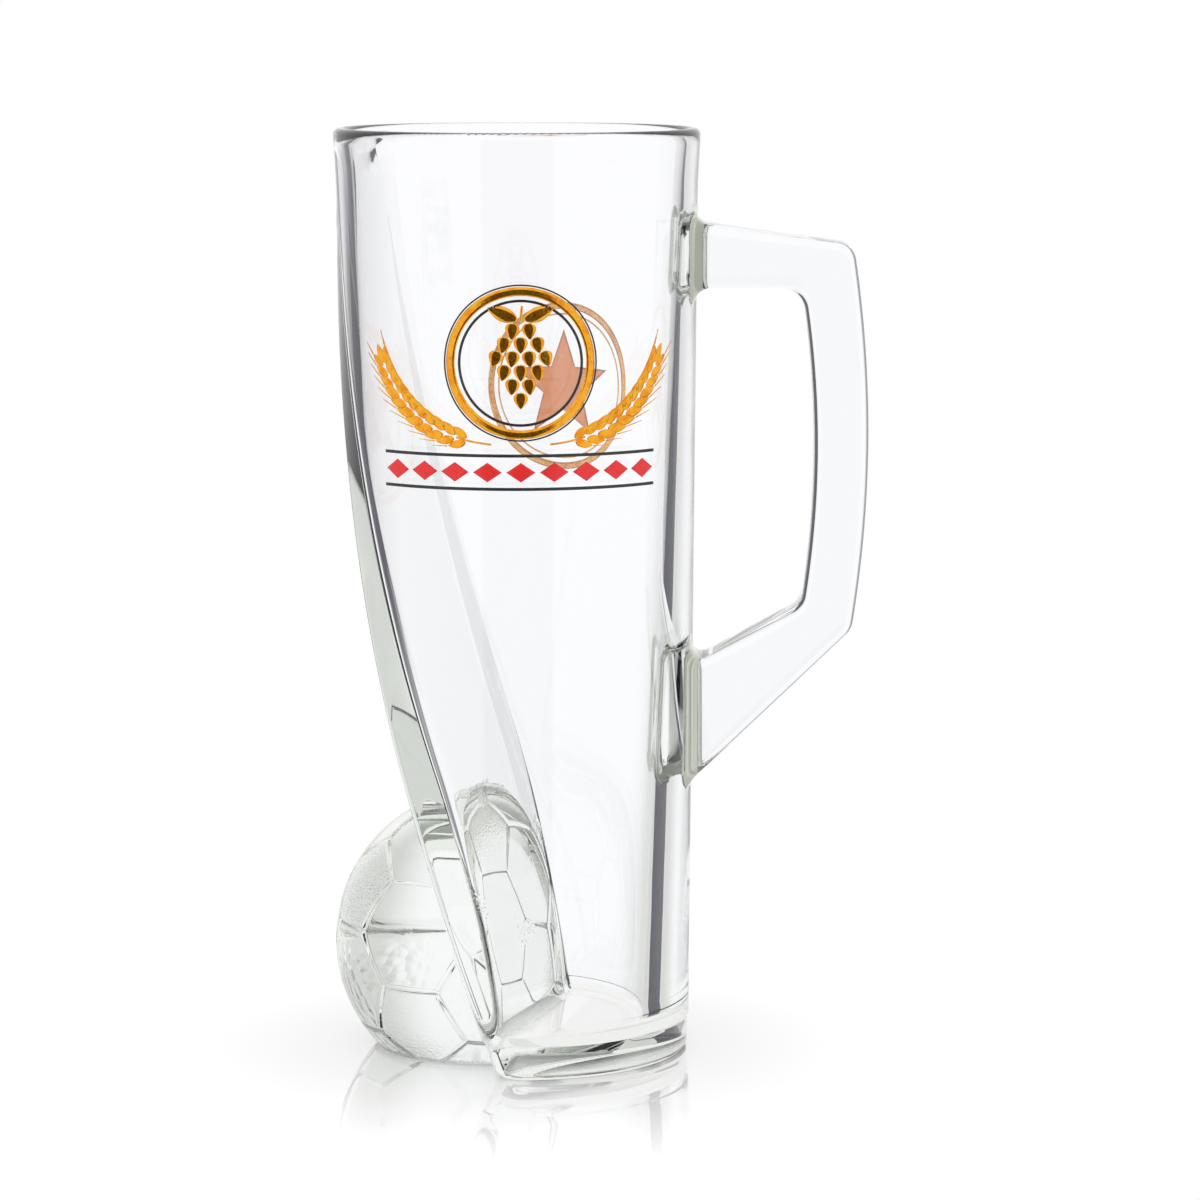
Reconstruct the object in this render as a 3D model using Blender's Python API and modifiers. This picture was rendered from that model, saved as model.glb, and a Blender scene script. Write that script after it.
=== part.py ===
# Pressed-glass beer mug: a tapered tube with a leaning facet, a football at its foot and a strap handle.
# Metres, +Z up. Every piece is modelled about the tube's own axis; the ball points to -X, the handle near +X.
import math

import bmesh
import bpy
from mathutils import Matrix, Vector

# Tube
MUG_HEIGHT = 0.215
FOOT_RADIUS = 0.0399
TOP_RADIUS = 0.0418
LIP_FLARE = 0.0005
LIP_FLARE_HEIGHT = 0.014
FOOT_EDGE_RADIUS = 0.0015
CONTACT_WIDTH = 0.007
RECESS_DEPTH = 0.001
RECESS_DRAFT = 0.0015
MOULD_LINE_HEIGHT = 0.0078
MOULD_LINE_STEP = 0.0004

# Cavity
RIM_WALL = 0.0032
FOOT_WALL = 0.0103
FLOOR_THICKNESS = 0.007
FLOOR_FILLET = 0.0035

# Leaning facet: a plane that bends into an arc and ends in a shoulder below the rim
FACET_FOOT_OFFSET = -0.004
FACET_LEAN = math.radians(17.2)
FACET_BEND_HEIGHT = 0.067
FACET_TOP_DEPTH = 0.002
FACET_FOOT_CORNER = 0.007
FACET_TOP_CORNER = 0.0025
FACET_FOOT_WALL = 0.0004
FACET_BEND_WALL = 0.0078
FACET_TOP_WALL = 0.0062
CAVITY_FOOT_CORNER = 0.002
CAVITY_TOP_CORNER = 0.012
SHOULDER_DROP = 0.0045
SHOULDER_LENGTH = 0.0035
CAVITY_SHOULDER_LENGTH = 0.020

# Football
BALL_RADIUS = 0.0354
BALL_FORWARD = 0.008
BALL_HEIGHT = 0.0248
BALL_TURN = math.radians(4.5)
SEAM_WIDTH = 0.0014
SEAM_DEPTH = 0.0005

# Handle, as an outer and an inner outline in the XZ plane, then turned about the tube's axis
HANDLE_TURN = math.radians(14.5)
HANDLE_REACH = 0.0811
HANDLE_WIDTH = 0.018
HANDLE_EDGE_RADIUS = 0.0022
GRIP_DEPTH = 0.0114
GRIP_BOW = 0.0036
UPPER_ARM_DROP = 0.0266
UPPER_ARM_DEPTH = 0.0099
UPPER_ARM_RISE = 0.0053
FINGER_SPACE = 0.0736
LOWER_ARM_FALL = 0.0362
LOWER_ARM_DEPTH = 0.0051
LOWER_ROOT_DEPTH = 0.0275
OUTER_KNEE_RADIUS = 0.004
INNER_KNEE_RADIUS = 0.005
PAD_FLARE = 0.0040
PAD_LENGTH = 0.0038
ROOT_SINK = 0.004

# Fired-on print, as thin plates on the tube
PRINT_THICKNESS = 0.0003
FRONT_PRINT_TURN = math.radians(18)
FRONT_PRINT_DROP = 0.051
MEDALLION_RADIUS = 0.017
MEDALLION_BAND = 0.002
KEYLINE_GAP = 0.0008
KEYLINE_BAND = 0.0007
HOP_LENGTH = 0.020
HOP_WIDTH = 0.0135
EAR_REACH = 0.038
EAR_WIDTH = 0.0064
EAR_FOOT_GAP = 0.0013
BAND_GAP = 0.0035
BAND_LENGTH = 0.068
LOZENGE_HEIGHT = 0.0042
LOZENGE_COUNT = 9
RULE_WIDTH = 0.0007
RULE_GAP = 0.0012
BACK_PRINT_DROP = 0.064
BACK_RING_RADIUS = 0.020
BACK_RING_BAND = 0.0016
BACK_STAR_RADIUS = 0.0135
BACK_STAR_WAIST = 0.42

# Clearance between pieces that are fused on the real mug
SEAT_GAP = 0.0003

# Counts of points along the curves
ARC_POINTS = 20
CORNER_POINTS = 5
CHORD_POINTS = 4
TUBE_RINGS = 18
SHOULDER_RINGS = 4
LIP_RINGS = 6
FILLET_RINGS = 4
KNEE_POINTS = 5
ARM_POINTS = 4
GRIP_POINTS = 7
PRINT_STEP = 0.004

SHOULDER_TOP = MUG_HEIGHT - SHOULDER_DROP
SHOULDER_FOOT = SHOULDER_TOP - SHOULDER_LENGTH
FRONT_REACH = max(TOP_RADIUS + LIP_FLARE, BALL_FORWARD + BALL_RADIUS)


def smoothstep(t):
    t = min(max(t, 0.0), 1.0)
    return t * t * (3 - 2 * t)


def mix(a, b, t):
    return a + (b - a) * t


def tube_radius(z):
    """Outer radius of the tube: a cone with a small flare at the lip."""
    flare = smoothstep((z - MUG_HEIGHT + LIP_FLARE_HEIGHT) / LIP_FLARE_HEIGHT)
    return mix(FOOT_RADIUS, TOP_RADIUS, z / MUG_HEIGHT) + LIP_FLARE * flare


def cavity_radius(z):
    """Inner radius: the wall is thin at the rim and thickens evenly toward the floor."""
    depth = min(max((MUG_HEIGHT - z) / (MUG_HEIGHT - FLOOR_THICKNESS), 0.0), 1.0)
    return tube_radius(z) - mix(RIM_WALL, FOOT_WALL, depth)


def facet_offset(z):
    """Distance of the facet in front of the axis: a straight lean, then an arc up to the shoulder."""
    straight = FACET_FOOT_OFFSET + math.tan(FACET_LEAN) * min(z, FACET_BEND_HEIGHT)
    if z <= FACET_BEND_HEIGHT:
        return straight
    rise = SHOULDER_FOOT - FACET_BEND_HEIGHT
    run = tube_radius(SHOULDER_FOOT) - FACET_TOP_DEPTH - straight
    turn = FACET_LEAN - math.atan2(run, rise)
    if abs(turn) < 1e-6:
        return straight + math.tan(FACET_LEAN) * (z - FACET_BEND_HEIGHT)
    radius = math.hypot(rise, run) / (2 * math.sin(turn))
    lean = math.asin(math.sin(FACET_LEAN) - (z - FACET_BEND_HEIGHT) / radius)
    return straight + radius * (math.cos(lean) - math.cos(FACET_LEAN))


def cavity_facet_offset(z):
    """The cavity's own facet: its wall swells to the bend on a parabola, then thins evenly above it."""
    below = min(max(1 - z / FACET_BEND_HEIGHT, 0.0), 1.0)
    above = min(max((z - FACET_BEND_HEIGHT) / (SHOULDER_FOOT - FACET_BEND_HEIGHT), 0.0), 1.0)
    wall = mix(FACET_BEND_WALL, FACET_FOOT_WALL, below**2) + mix(0.0, FACET_TOP_WALL - FACET_BEND_WALL, above)
    return facet_offset(z) - wall


def d_section(radius, offset, corner):
    """A circle cut by a chord at x = -offset, with rounded corners, counter-clockwise from +X."""
    swing = math.acos((offset - corner) / (radius - corner))
    half = [(radius * math.cos(a), radius * math.sin(a))
            for a in ((math.pi - swing) * i / ARC_POINTS for i in range(ARC_POINTS + 1))]
    centre_x = corner - offset
    centre_y = (radius - corner) * math.sin(swing)
    for i in range(1, CORNER_POINTS + 1):
        a = math.pi - swing * (1 - i / CORNER_POINTS)
        half.append((centre_x + corner * math.cos(a), centre_y + corner * math.sin(a)))
    half += [(-offset, centre_y * (1 - i / CHORD_POINTS)) for i in range(1, CHORD_POINTS + 1)]
    return half + [(x, -y) for x, y in reversed(half[1:-1])]


def ring(z, radius, offset, corner, height, shoulder):
    """One level of the loft at this height. Along the shoulder the section opens out to the full circle."""
    blend = smoothstep((z - SHOULDER_TOP + shoulder) / shoulder)
    points = []
    for x, y in d_section(radius, offset, corner):
        far = radius / math.hypot(x, y)
        scale = mix(1.0, far, blend)
        points.append(Vector((x * scale, y * scale, height)))
    return points


def corner_radius(z, foot, top, inset):
    """The rounding beside the facet, wide at the foot and tight at the shoulder, less the inset."""
    corner = mix(foot, top, min(max(z / SHOULDER_FOOT, 0.0), 1.0))
    return max(corner - inset, corner / 4)


def outer_ring(z, inset=0.0, height=None):
    corner = corner_radius(z, FACET_FOOT_CORNER, FACET_TOP_CORNER, inset)
    level = z if height is None else height
    return ring(z, tube_radius(z) - inset, facet_offset(z) - inset, corner, level, SHOULDER_LENGTH)


def cavity_ring(z, inset=0.0, height=None):
    corner = corner_radius(z, CAVITY_FOOT_CORNER, CAVITY_TOP_CORNER, inset)
    level = z if height is None else height
    offset = cavity_facet_offset(z) - inset
    return ring(z, cavity_radius(z) - inset, offset, corner, level, CAVITY_SHOULDER_LENGTH)


def even_heights(low, high, count):
    return [mix(low, high, i / count) for i in range(count + 1)]


def wall_heights(low, high, shoulder):
    """Levels up a wall, with more of them along the shoulder, where the facet opens out to the rim."""
    wall = even_heights(low, SHOULDER_TOP - shoulder, TUBE_RINGS)
    return wall + even_heights(SHOULDER_TOP - shoulder, SHOULDER_TOP, SHOULDER_RINGS)[1:] + [high]


def new_object(name, bm, collection):
    mesh = bpy.data.meshes.new(name)
    bmesh.ops.recalc_face_normals(bm, faces=bm.faces)
    bm.to_mesh(mesh)
    bm.free()
    mesh.shade_smooth()
    mesh.set_sharp_from_angle(angle=math.radians(35))
    obj = bpy.data.objects.new(name, mesh)
    collection.objects.link(obj)
    obj.parent = tube_axis
    return obj


def loft(rings):
    """A closed solid through rings of equal point counts, with a flat cap on its first and last ring."""
    bm = bmesh.new()
    loops = [[bm.verts.new(p) for p in points] for points in rings]
    for low, high in zip(loops, loops[1:]):
        for i in range(len(low)):
            j = (i + 1) % len(low)
            bm.faces.new((low[i], low[j], high[j], high[i]))
    bm.faces.new(reversed(loops[0]))
    bm.faces.new(loops[-1])
    return bm


def material(name, colour, roughness, metallic=0.0, transmission=0.0):
    mat = bpy.data.materials.new(name)
    mat.use_nodes = True
    shader = mat.node_tree.nodes["Principled BSDF"]
    shader.inputs["Base Color"].default_value = (*colour, 1.0)
    shader.inputs["Roughness"].default_value = roughness
    shader.inputs["Metallic"].default_value = metallic
    shader.inputs["Transmission Weight"].default_value = transmission
    return mat


def boolean(obj, cutter):
    cut = obj.modifiers.new("cut_" + cutter.name, "BOOLEAN")
    cut.operation = "DIFFERENCE"
    cut.solver = "EXACT"
    cut.object = cutter


def make_cutter(name, bm):
    cutter = new_object(name, bm, cutters)
    cutter.hide_render = True
    cutter.display_type = "WIRE"
    return cutter


# Mug body

def foot_rings():
    """Underside from the recess out to the wall: recess, contact band, rounded edge, step at the mould line."""
    rings = [outer_ring(0.0, CONTACT_WIDTH + RECESS_DRAFT, RECESS_DEPTH), outer_ring(0.0, CONTACT_WIDTH, 0.0)]
    for i in range(FILLET_RINGS + 1):
        a = math.pi / 2 * i / FILLET_RINGS
        inset = MOULD_LINE_STEP + FOOT_EDGE_RADIUS * (1 - math.sin(a))
        height = FOOT_EDGE_RADIUS * (1 - math.cos(a))
        rings.append(outer_ring(height, inset))
    rings.append(outer_ring(MOULD_LINE_HEIGHT, MOULD_LINE_STEP))
    rings.append(outer_ring(MOULD_LINE_HEIGHT + MOULD_LINE_STEP))
    return rings


def lip_rings():
    """Rounded lip from the outer wall over to the inner wall."""
    lip = RIM_WALL / 2
    rings = []
    for i in range(1, LIP_RINGS):
        a = math.pi * i / LIP_RINGS
        height = MUG_HEIGHT - lip + lip * math.sin(a)
        rings.append(outer_ring(MUG_HEIGHT, lip * (1 - math.cos(a)), height))
    return rings


def floor_rings():
    """Rounded corner from the cavity's wall down to its floor."""
    rings = []
    for i in range(1, FILLET_RINGS + 1):
        a = math.pi / 2 * i / FILLET_RINGS
        inset = FLOOR_FILLET * (1 - math.cos(a))
        height = FLOOR_THICKNESS + FLOOR_FILLET * (1 - math.sin(a))
        rings.append(cavity_ring(FLOOR_THICKNESS + FLOOR_FILLET, inset, height))
    return rings


def make_mug_body():
    lip_foot = MUG_HEIGHT - RIM_WALL / 2
    outside = [outer_ring(z) for z in wall_heights(FOOT_EDGE_RADIUS, lip_foot, SHOULDER_LENGTH)[1:]]
    floor = FLOOR_THICKNESS + FLOOR_FILLET
    inside = [cavity_ring(z) for z in reversed(wall_heights(floor, lip_foot, CAVITY_SHOULDER_LENGTH))]
    body = new_object("mug_body", loft(foot_rings() + outside + lip_rings() + inside + floor_rings()), parts)
    body.data.materials.append(clear_glass)


def make_body_envelope():
    """The outside of the body, one clearance larger, to cut what is fused onto it."""
    heights = [-FOOT_EDGE_RADIUS] + wall_heights(FOOT_EDGE_RADIUS, MUG_HEIGHT + SEAT_GAP, SHOULDER_LENGTH)
    return make_cutter("body_envelope", loft([outer_ring(z, -SEAT_GAP) for z in heights]))


# Football

def panel_normals():
    """Directions of the 12 pentagons and 20 hexagons of a sewn ball, each with its panel's distance."""
    bm = bmesh.new()
    bmesh.ops.create_icosphere(bm, subdivisions=1, radius=1.0)
    corners = [v.co.normalized() for v in bm.verts]
    faces = [f.calc_center_median().normalized() for f in bm.faces]
    edge = min(e.calc_length() for e in bm.edges)
    bm.free()
    seam_corner = (corners[0] * 2 + min(corners[1:], key=lambda c: abs((c - corners[0]).length - edge))) / 3
    pentagon = seam_corner.dot(corners[0])
    hexagon = max(seam_corner.dot(f) for f in faces)
    return [(c, pentagon) for c in corners] + [(f, hexagon) for f in faces]


def on_seam(direction, panels):
    """True where a ray leaves two panels at once."""
    reach = sorted((direction.dot(normal) / distance for normal, distance in panels), reverse=True)
    return reach[0] - reach[1] < 1e-4


def make_ball_mesh():
    """Sewn panels: an icosahedron with its corners cut off, each face inset, rounded out to the sphere."""
    panels = panel_normals()
    bm = bmesh.new()
    bmesh.ops.create_icosphere(bm, subdivisions=1, radius=BALL_RADIUS)
    third = 100 / 3
    bmesh.ops.bevel(bm, geom=bm.verts[:], offset=third, offset_type="PERCENT", segments=1, affect="VERTICES")
    bmesh.ops.inset_individual(bm, faces=bm.faces[:], thickness=SEAM_WIDTH / 2, use_even_offset=True)
    bmesh.ops.poke(bm, faces=[f for f in bm.faces if len(f.verts) > 4])
    bmesh.ops.subdivide_edges(bm, edges=bm.edges[:], cuts=1, use_grid_fill=True)
    bmesh.ops.triangulate(bm, faces=bm.faces[:])
    for v in bm.verts:
        direction = v.co.normalized()
        v.co = direction * (BALL_RADIUS - (SEAM_DEPTH if on_seam(direction, panels) else 0.0))
    bmesh.ops.rotate(bm, verts=bm.verts, cent=(0, 0, 0), matrix=Matrix.Rotation(BALL_TURN, 3, "Z"))
    bmesh.ops.translate(bm, verts=bm.verts, vec=(-BALL_FORWARD, 0, BALL_HEIGHT))
    return bm


def make_ground():
    """What lies below the table's surface."""
    bm = bmesh.new()
    bmesh.ops.create_cube(bm, size=1.0)
    bmesh.ops.scale(bm, verts=bm.verts, vec=(4 * BALL_RADIUS, 4 * BALL_RADIUS, 2 * BALL_RADIUS))
    bmesh.ops.translate(bm, verts=bm.verts, vec=(-BALL_FORWARD, 0, -BALL_RADIUS))
    return make_cutter("ground", bm)


def make_football(envelope):
    ball = new_object("football", make_ball_mesh(), parts)
    ball.data.materials.append(ball_glass)
    boolean(ball, envelope)
    boolean(ball, make_ground())


# Handle

def rounded_outline(points, radius, bow):
    """A line through four points: arms, two rounded knees, and between them a grip that bows outward."""
    (root, knee, low_knee, low_root) = points
    line = []
    for before, corner, after in ((root, knee, low_knee), (knee, low_knee, low_root)):
        back = (before - corner).normalized()
        ahead = (after - corner).normalized()
        reach = radius / math.tan(back.angle(ahead) / 2)
        line.append([corner.lerp(corner + back * reach, 1 - t).lerp(corner.lerp(corner + ahead * reach, t), t)
                     for t in (i / KNEE_POINTS for i in range(KNEE_POINTS + 1))])
    upper, lower = line
    grip = [upper[-1].lerp(lower[0], i / GRIP_POINTS) for i in range(1, GRIP_POINTS)]
    top_arm = [root.lerp(upper[0], i / ARM_POINTS) for i in range(ARM_POINTS)]
    low_arm = [lower[-1].lerp(low_root, i / ARM_POINTS) for i in range(1, ARM_POINTS + 1)]
    outline = top_arm + upper + grip + lower + low_arm
    span = knee.y - low_knee.y
    middle = (knee.y + low_knee.y) / 2
    for p in outline:
        p.x += bow * max(0.0, 1 - (2 * (p.y - middle) / span) ** 2)
    return outline


def strap_ring(outer, inner, width):
    """A rounded rectangle across the strap, from the inner to the outer outline and over its width."""
    centre = (outer + inner) / 2
    depth = (outer - inner).length / 2
    across = (outer - inner).normalized()
    edge = HANDLE_EDGE_RADIUS
    points = []
    for side, start in (((1, 1), 0.0), ((-1, 1), 0.5), ((-1, -1), 1.0), ((1, -1), 1.5)):
        for i in range(FILLET_RINGS + 1):
            a = math.pi * (start + 0.5 * i / FILLET_RINGS)
            u = side[0] * (depth - edge) + edge * math.cos(a)
            v = side[1] * (width / 2 - edge) + edge * math.sin(a)
            points.append(Vector((centre.x + across.x * u, v, centre.y + across.y * u)))
    return points


def pad_flare(t):
    """A fillet's rise above the strap: its full flare at the wall, t = 0, nothing at the pad's end, t = 1."""
    t = min(max(t, 0.0), 1.0)
    return PAD_FLARE * (1 - math.sqrt(1 - (1 - t) ** 2))


def fillet_share(direction, side):
    """The run of a fillet of unit radius along the wall, beside an arm: the cotangent of half the angle."""
    cosine = direction.dot(side)
    return math.sqrt((1 + cosine) / (1 - cosine))


def with_pad(outer, inner, wall):
    """Extra stations where an arm meets the wall, so that its pad flares smoothly."""
    stations = []
    side = (outer[0] - inner[0]).normalized()
    direction_out = (outer[1] - outer[0]).normalized()
    direction_in = (inner[1] - inner[0]).normalized()
    for t in (-ROOT_SINK / PAD_LENGTH, 0.0, 0.08, 0.2, 0.4, 0.7, 1.0):
        x = wall + t * PAD_LENGTH
        o = outer[0] + direction_out * ((x - outer[0].x) / direction_out.x)
        i = inner[0] + direction_in * ((x - inner[0].x) / direction_in.x)
        stations.append((o + side * pad_flare(t) * fillet_share(direction_out, side),
                         i - side * pad_flare(t) * fillet_share(direction_in, -side), t))
    return stations


def hug_tube(points, wall, t):
    """Draws a ring of the pad back round the tube by the tube's sag at its width, less so further out."""
    share = 1 - min(max(t, 0.0), 1.0)
    for p in points:
        p.x -= (wall - math.sqrt(wall**2 - p.y**2)) * share
    return points


def handle_outlines():
    knee_x = HANDLE_REACH - GRIP_BOW
    upper = MUG_HEIGHT - UPPER_ARM_DROP
    under = upper - UPPER_ARM_DEPTH
    low_inner = under - FINGER_SPACE
    low_outer = low_inner - LOWER_ARM_DEPTH
    low_root = low_outer - LOWER_ARM_FALL
    wall = min(FOOT_RADIUS, TOP_RADIUS)
    grip_x = knee_x - GRIP_DEPTH
    outer = ((wall, upper + UPPER_ARM_RISE), (knee_x, upper), (knee_x, low_outer), (wall, low_root))
    inner = ((wall, under), (grip_x, under), (grip_x, low_inner), (wall, low_root + LOWER_ROOT_DEPTH))
    return (rounded_outline([Vector(p) for p in outer], OUTER_KNEE_RADIUS, GRIP_BOW),
            rounded_outline([Vector(p) for p in inner], INNER_KNEE_RADIUS, GRIP_BOW))


def handle_rings():
    outer, inner = handle_outlines()
    upper_wall = tube_radius((outer[0].y + inner[0].y) / 2)
    lower_wall = tube_radius((outer[-1].y + inner[-1].y) / 2)
    pad_end = TOP_RADIUS + PAD_LENGTH * 1.5
    free = [(o, i, 1.0) for o, i in zip(outer, inner) if min(o.x, i.x) > pad_end]
    stations = [(upper_wall, s) for s in with_pad(outer, inner, upper_wall) + free]
    stations += [(lower_wall, s) for s in reversed(with_pad(outer[::-1], inner[::-1], lower_wall))]
    turn = Matrix.Rotation(HANDLE_TURN, 3, "Z")
    rings = []
    for wall, (o, i, t) in stations:
        points = strap_ring(o, i, HANDLE_WIDTH + 2 * pad_flare(t))
        rings.append([turn @ p for p in hug_tube(points, wall, t)])
    return rings


def make_handle(rings, envelope):
    strap = new_object("handle", loft(rings), parts)
    strap.data.materials.append(handle_glass)
    boolean(strap, envelope)


# Print

def on_tube(turn, drop, along, up):
    """A point of a print: so far along the tube's skin and up it, from the print's centre."""
    z = MUG_HEIGHT - drop + up
    radius = tube_radius(z) + SEAT_GAP
    angle = turn + along / tube_radius(MUG_HEIGHT - drop)
    return Vector((radius * math.cos(angle), radius * math.sin(angle), z))


def print_plate(name, rows, mat, closed):
    """A thin plate over a grid of points on the tube's skin."""
    bm = bmesh.new()
    grid = [[bm.verts.new(p) for p in row] for row in rows]
    for low, high in zip(grid, grid[1:]):
        for i in range(len(low) - (0 if closed else 1)):
            j = (i + 1) % len(low)
            bm.faces.new((low[i], low[j], high[j], high[i]))
    bmesh.ops.remove_doubles(bm, verts=bm.verts, dist=1e-6)
    outward = bm.faces[:][0]
    outward.normal_update()
    if outward.normal.dot(Vector((*outward.calc_center_median().xy, 0.0))) < 0:
        bmesh.ops.reverse_faces(bm, faces=bm.faces)
    mesh = bpy.data.meshes.new(name)
    bm.to_mesh(mesh)
    bm.free()
    mesh.shade_smooth()
    obj = bpy.data.objects.new(name, mesh)
    parts.objects.link(obj)
    obj.parent = tube_axis
    wall = obj.modifiers.new("thickness", "SOLIDIFY")
    wall.thickness = PRINT_THICKNESS
    wall.offset = 1.0
    obj.data.materials.append(mat)


def print_disc(name, mat, turn, drop, outline, hole):
    """A flat figure about a centre: outline gives its radius by angle, hole the share of it left open."""
    size = max(outline(a) for a in even_heights(0.0, 2 * math.pi, 40))
    steps = max(1, math.ceil(size * (1 - hole) / PRINT_STEP))
    count = 40
    angles = [2 * math.pi * i / count for i in range(count)]
    rows = []
    for share in even_heights(hole, 1.0, steps):
        reach = [(share * outline(a), a) for a in angles]
        rows.append([on_tube(turn, drop, r * math.sin(a), r * math.cos(a)) for r, a in reach])
    print_plate(name, rows, mat, closed=True)


def print_ribbon(name, mat, turn, drop, path, half_width, count):
    """A flat figure along a path: path gives its middle line, half_width its half breadth."""
    rows = []
    for t in even_heights(0.0, 1.0, count):
        middle = path(t)
        along = (path(min(t + 1e-3, 1.0)) - path(max(t - 1e-3, 0.0))).normalized()
        side = Vector((-along.y, along.x)) * half_width(t)
        rows.append([on_tube(turn, drop, *(middle + side * s)) for s in (-1.0, 0.0, 1.0)])
    print_plate(name, rows, mat, closed=False)


def scallops(t, count, depth):
    """A row of rounded scales along an edge."""
    return 1 - depth + depth * abs(math.sin(math.pi * count * t))


def make_medallion(turn):
    drop = FRONT_PRINT_DROP
    hole = 1 - MEDALLION_BAND / MEDALLION_RADIUS
    print_disc("print_medallion_ring", print_gold, turn, drop, lambda a: MEDALLION_RADIUS, hole)
    line = MEDALLION_RADIUS - MEDALLION_BAND - KEYLINE_GAP
    print_disc("print_medallion_line", print_black, turn, drop, lambda a: line, 1 - KEYLINE_BAND / line)


def make_hop(turn):
    """A hop cone hanging by its tip, as a spindle with a scaly edge."""
    def path(t):
        return Vector((0.0, HOP_LENGTH * (0.5 - t)))

    def half_width(t):
        return HOP_WIDTH / 2 * scallops(t, 5, 0.18) * max(math.sin(math.pi * t**0.8) ** 0.6, 0.05)

    print_ribbon("print_hop", print_gold, turn, FRONT_PRINT_DROP, path, half_width, 30)


def make_ears(turn):
    """Two barley ears that rise outward from below the medallion."""
    foot = MEDALLION_RADIUS + EAR_FOOT_GAP
    bends = ((foot * 0.27, -foot), (EAR_REACH * 0.68, -foot * 0.95), (EAR_REACH, foot * 0.27))
    for name, side in (("print_ear_left", -1), ("print_ear_right", 1)):
        ends = [Vector((side * x, y)) for x, y in bends]

        def path(t):
            return ends[0].lerp(ends[1], t).lerp(ends[1].lerp(ends[2], t), t)

        def half_width(t):
            return EAR_WIDTH / 2 * scallops(t, 9, 0.3) * max(min(1.0, t * 3) * (1 - t**6), 0.08)

        print_ribbon(name, print_gold, turn, FRONT_PRINT_DROP, path, half_width, 36)


def make_band(turn):
    """A chain of lozenges between two plain rules."""
    def straight(up):
        return lambda t: Vector((BAND_LENGTH * (t - 0.5), up))

    def lozenges(t):
        return LOZENGE_HEIGHT / 2 * max(1 - abs(2 * ((t * LOZENGE_COUNT) % 1.0) - 1), 0.15)

    rule = LOZENGE_HEIGHT / 2 + RULE_GAP + RULE_WIDTH / 2
    drop = FRONT_PRINT_DROP + MEDALLION_RADIUS + BAND_GAP + RULE_WIDTH / 2 + rule
    print_ribbon("print_lozenges", print_red, turn, drop, straight(0.0), lozenges, LOZENGE_COUNT * 4)
    for name, up in (("print_rule_upper", rule), ("print_rule_lower", -rule)):
        print_ribbon(name, print_black, turn, drop, straight(up), lambda t: RULE_WIDTH / 2, LOZENGE_COUNT * 2)


def make_back_print(turn):
    hole = 1 - BACK_RING_BAND / BACK_RING_RADIUS
    print_disc("print_back_ring", back_gold, turn, BACK_PRINT_DROP, lambda a: BACK_RING_RADIUS, hole)

    def star(a):
        point = 2 * math.pi / 5
        near_tip = abs((a / point + 0.5) % 1.0 - 0.5) * 2
        return BACK_STAR_RADIUS * mix(1.0, BACK_STAR_WAIST, near_tip)

    print_disc("print_back_star", back_red, turn, BACK_PRINT_DROP, star, 0.1)


for old in list(bpy.data.objects):
    bpy.data.objects.remove(old)

parts = bpy.data.collections.new("football_beer_mug")
cutters = bpy.data.collections.new("cutters")
bpy.context.scene.collection.children.link(parts)
bpy.context.scene.collection.children.link(cutters)

strap_rings = handle_rings()
handle_span = max(p.x for points in strap_rings for p in points)
tube_axis = bpy.data.objects.new("tube_axis", None)
tube_axis.location.x = (FRONT_REACH - handle_span) / 2
parts.objects.link(tube_axis)

clear_glass = material("clear_glass", (0.93, 0.97, 0.94), 0.02, transmission=1.0)
handle_glass = material("handle_glass", (0.93, 0.97, 0.94), 0.03, transmission=1.0)
ball_glass = material("ball_glass", (0.92, 0.96, 0.94), 0.06, transmission=1.0)
print_gold = material("print_gold", (0.86, 0.47, 0.06), 0.2, metallic=1.0)
print_black = material("print_black", (0.02, 0.018, 0.016), 0.35)
print_red = material("print_red", (0.62, 0.03, 0.02), 0.3)
back_gold = material("back_gold", (0.78, 0.42, 0.16), 0.25, metallic=1.0)
back_red = material("back_red", (0.6, 0.09, 0.03), 0.3)

front = FRONT_PRINT_TURN - math.pi / 2
make_mug_body()
envelope = make_body_envelope()
make_football(envelope)
make_handle(strap_rings, envelope)
make_medallion(front)
make_hop(front)
make_ears(front)
make_band(front)
make_back_print(math.pi / 2)
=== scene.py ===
import math
from types import SimpleNamespace

import bmesh
import bpy
import numpy as np
from mathutils import Matrix, Vector


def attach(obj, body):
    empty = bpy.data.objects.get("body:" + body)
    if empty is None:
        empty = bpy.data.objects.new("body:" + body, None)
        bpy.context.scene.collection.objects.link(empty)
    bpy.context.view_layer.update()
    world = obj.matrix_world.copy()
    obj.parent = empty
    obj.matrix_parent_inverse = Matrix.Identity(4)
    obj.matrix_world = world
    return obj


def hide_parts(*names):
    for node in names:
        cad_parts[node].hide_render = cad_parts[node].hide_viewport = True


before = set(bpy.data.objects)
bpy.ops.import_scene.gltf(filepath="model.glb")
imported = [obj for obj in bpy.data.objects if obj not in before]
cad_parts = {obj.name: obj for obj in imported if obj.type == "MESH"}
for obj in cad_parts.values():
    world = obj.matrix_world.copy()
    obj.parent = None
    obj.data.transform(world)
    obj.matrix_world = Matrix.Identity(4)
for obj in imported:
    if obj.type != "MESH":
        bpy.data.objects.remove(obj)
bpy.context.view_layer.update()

axisX = -0.018415  # the tube's axis, in the shared frame

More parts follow.
